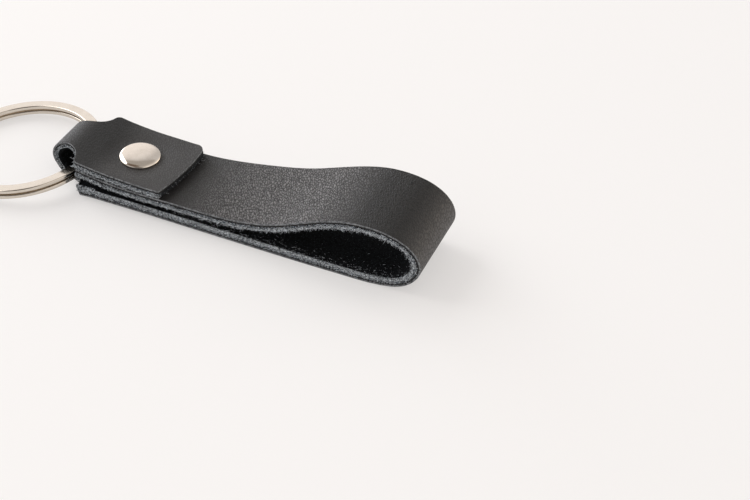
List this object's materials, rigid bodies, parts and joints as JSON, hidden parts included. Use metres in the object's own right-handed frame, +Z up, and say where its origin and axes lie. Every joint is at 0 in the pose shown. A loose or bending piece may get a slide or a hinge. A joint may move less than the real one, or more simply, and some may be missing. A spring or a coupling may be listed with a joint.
{
  "type": "keychain",
  "caption": "Keychain: a folded faux leather strap with a hand loop, closed by a double-cap rivet, carrying a split key ring.",
  "frame": {"origin": "on the table, under the middle of the part's box", "axes": "+X from the key ring towards the hand loop, +Y across the strap, +Z up from the table"},
  "size_m": [0.1178, 0.0356, 0.0155],
  "materials": {
    "strap_skin": "polyurethane coated faux leather, fine pebble grain, satin black",
    "strap_bond_film": "thin black bonding layer, matt",
    "strap_backing": "brushed fibre backing, matt charcoal black",
    "rivet_caps": "nickel plated, polished",
    "rivet_stems": "drawn steel, plain",
    "split_ring": "nickel plated spring steel, polished"
  },
  "bodies": {
    "strap": {"strap_skin": "strap_skin", "strap_bond_film": "strap_bond_film", "strap_backing": "strap_backing", "rivet_front_cap": "rivet_caps", "rivet_socket": "rivet_stems", "rivet_post": "rivet_stems", "rivet_back_cap": "rivet_caps"},
    "ring": {"split_ring": "split_ring"}
  },
  "joints": [
    {"name": "ring_swing", "type": "hinge", "parent": "strap", "child": "ring", "pos_m": [-0.02535, 0.0022, 0.0049], "axis": [0, 1, 0], "range_deg": [-10, 110]}
  ]
}
